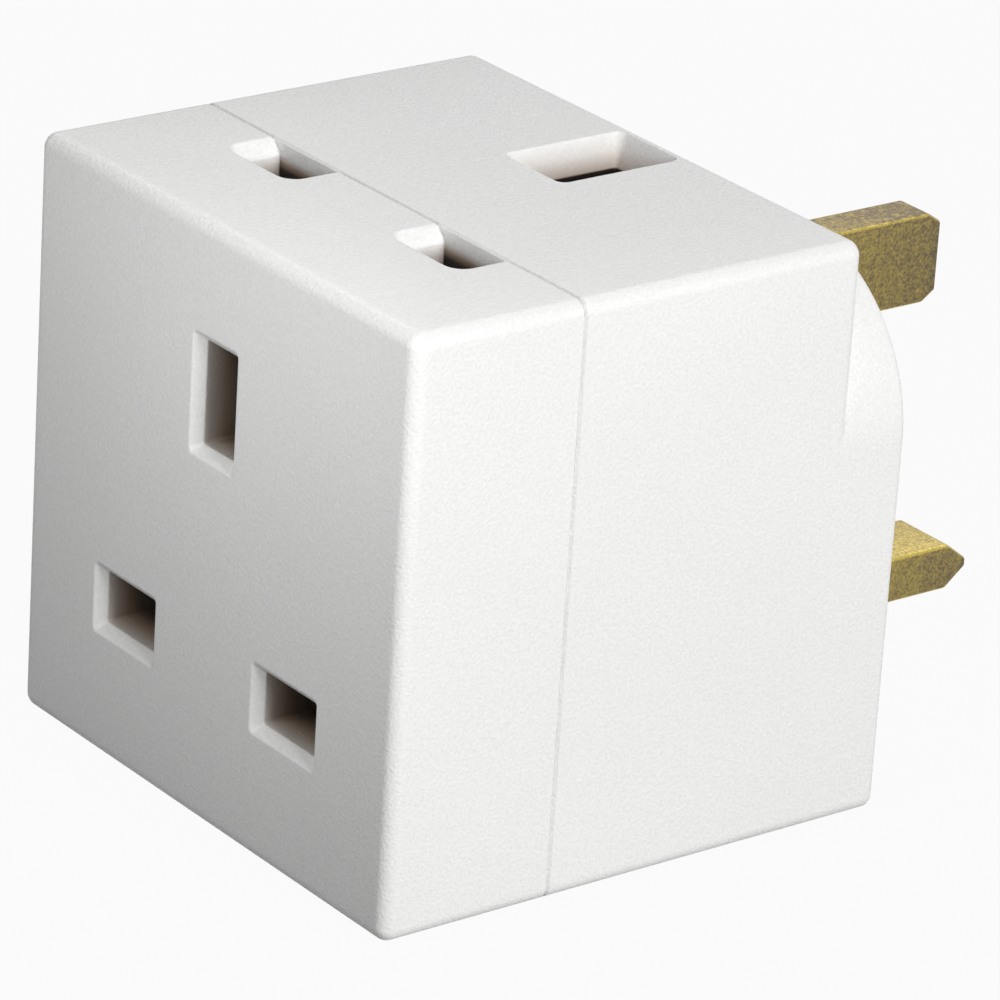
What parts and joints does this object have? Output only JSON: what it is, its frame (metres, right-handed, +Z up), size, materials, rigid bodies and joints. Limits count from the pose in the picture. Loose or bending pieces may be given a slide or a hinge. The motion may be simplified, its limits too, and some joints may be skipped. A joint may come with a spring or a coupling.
{
  "type": "multi socket adapter",
  "caption": "White cube-shaped mains adapter with rectangular brass plug pins at the back and shuttered sockets in its front and top faces.",
  "frame": {"origin": "middle of the flat bottom face, half way between the front face and the plug face", "axes": "+X to the right seen from the front socket, +Y from the front face towards the plug pins, +Z up to the top socket"},
  "size_m": [0.0512, 0.0721, 0.0502],
  "materials": {
    "housing": "moulded white plastic, fine satin grain",
    "shutter_moulding": "moulded off-white plastic",
    "plug_pins": "drawn brass, dull and slightly tarnished",
    "contact_strip": "rolled sheet, clean",
    "spring_wire": "drawn steel wire",
    "screws": "zinc plated"
  },
  "bodies": {
    "adaptor": {"front_cover": "housing", "rear_body": "housing", "front_shutter_plate": "shutter_moulding", "top_shutter_plate": "shutter_moulding", "line_pin": "plug_pins", "neutral_pin": "plug_pins", "earth_pin": "plug_pins", "line_busbar": "contact_strip", "neutral_busbar": "contact_strip", "earth_strip": "contact_strip", "front_line_clip": "contact_strip", "front_neutral_clip": "contact_strip", "front_earth_clip": "contact_strip", "top_line_clip": "contact_strip", "top_neutral_clip": "contact_strip", "top_earth_clip": "contact_strip", "clip_rivets": "contact_strip", "front_shutter_spring": "spring_wire", "top_shutter_spring": "spring_wire", "plate_screws": "screws", "assembly_screw": "screws"},
    "front_shutter_slide_body": {"front_shutter": "shutter_moulding"},
    "top_shutter_slide_body": {"top_shutter": "shutter_moulding"}
  },
  "joints": [
    {"name": "front_shutter_slide", "type": "slide", "parent": "adaptor", "child": "front_shutter_slide_body", "axis": [0, 0, -1], "range_m": [0, 0.0058], "stiffness_N_per_m": 150, "springref_m": -0.004, "deforming": ["front_shutter_spring"]},
    {"name": "top_shutter_slide", "type": "slide", "parent": "adaptor", "child": "top_shutter_slide_body", "axis": [0, -1, 0], "range_m": [0, 0.0058], "stiffness_N_per_m": 150, "springref_m": -0.004, "deforming": ["top_shutter_spring"]}
  ]
}
